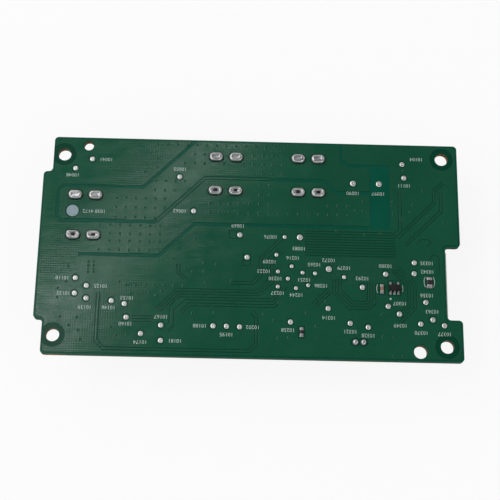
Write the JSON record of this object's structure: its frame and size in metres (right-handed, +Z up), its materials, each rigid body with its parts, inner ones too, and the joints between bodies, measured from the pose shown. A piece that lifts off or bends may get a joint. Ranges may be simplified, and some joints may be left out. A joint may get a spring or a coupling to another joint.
{
  "type": "control board",
  "caption": "Flat circuit board with a stepped and notched outline: solder joints, test pads and traces on one face, blade terminals, capacitors, a controller and sockets on the other.",
  "frame": {"origin": "under the middle of the board, on the plane that the blade tips and the aluminium capacitors stand on", "axes": "+X along the board towards the notched end, +Y across it towards the edge with the locating hole, +Z up, out of the solder side"},
  "size_m": [0.105, 0.0564, 0.0133],
  "materials": {
    "laminate": "green mask straight on glass-epoxy laminate, with a sawn brown-green edge",
    "masked_copper": "copper under glossy green solder mask",
    "solder": "bright tin solder",
    "mark": "flat grey-blue coating",
    "tinned_brass": "matt tin on stamped brass",
    "gilt_pin": "thin gold plating",
    "lead_frame": "matt tin plating",
    "black_epoxy": "moulded black epoxy",
    "ivory_nylon": "moulded nylon",
    "can": "drawn bright aluminium",
    "base_plastic": "moulded black plastic",
    "ferrite": "pressed grey iron powder",
    "shunt_alloy": "rolled copper-manganese strip",
    "crystal_ceramic": "fired ceramic",
    "lid_steel": "plated steel lid",
    "resistor_glaze": "black glaze on a ceramic chip",
    "capacitor_ceramic": "fired tan ceramic",
    "chip_metal": "tinned chip ends in solder"
  },
  "bodies": {
    "root": {"board": "laminate", "solder_side_copper": "masked_copper", "component_side_copper": "masked_copper", "solder_side_lands": "solder", "component_side_lands": "solder", "test_pads": "solder", "reject_mark": "mark", "tab_joints": "solder", "header_joints": "solder", "driver_body": "black_epoxy", "driver_leads": "lead_frame", "solder_side_chips": "resistor_glaze", "solder_side_chip_ends": "chip_metal", "header_housing": "ivory_nylon", "header_pins": "gilt_pin", "controller_body": "black_epoxy", "controller_leads": "lead_frame", "capacitor_leads": "lead_frame", "coil_body": "ferrite", "coil_ends": "lead_frame", "regulator_body": "black_epoxy", "regulator_leads": "lead_frame", "gate_driver_bodies": "black_epoxy", "gate_driver_leads": "lead_frame", "small_transistor_bodies": "black_epoxy", "small_transistor_leads": "lead_frame", "crystal_base": "crystal_ceramic", "crystal_lid": "lid_steel", "shunt": "shunt_alloy", "clamp_diode_body": "black_epoxy", "clamp_diode_leads": "lead_frame", "connector_housing": "ivory_nylon", "connector_contacts": "gilt_pin", "connector_brackets": "lead_frame", "resistor_bodies": "resistor_glaze", "resistor_ends": "chip_metal", "capacitor_chips": "capacitor_ceramic", "capacitor_chip_ends": "chip_metal", "tab_1": "tinned_brass", "tab_2": "tinned_brass", "tab_3": "tinned_brass", "tab_4": "tinned_brass", "tab_5": "tinned_brass", "tab_6": "tinned_brass", "capacitor_can_1": "can", "capacitor_base_1": "base_plastic", "capacitor_can_2": "can", "capacitor_base_2": "base_plastic", "capacitor_can_3": "can", "capacitor_base_3": "base_plastic", "power_transistor_1": "black_epoxy", "power_transistor_metal_1": "lead_frame", "power_transistor_2": "black_epoxy", "power_transistor_metal_2": "lead_frame", "power_transistor_3": "black_epoxy", "power_transistor_metal_3": "lead_frame", "power_transistor_4": "black_epoxy", "power_transistor_metal_4": "lead_frame"}
  },
  "joints": []
}
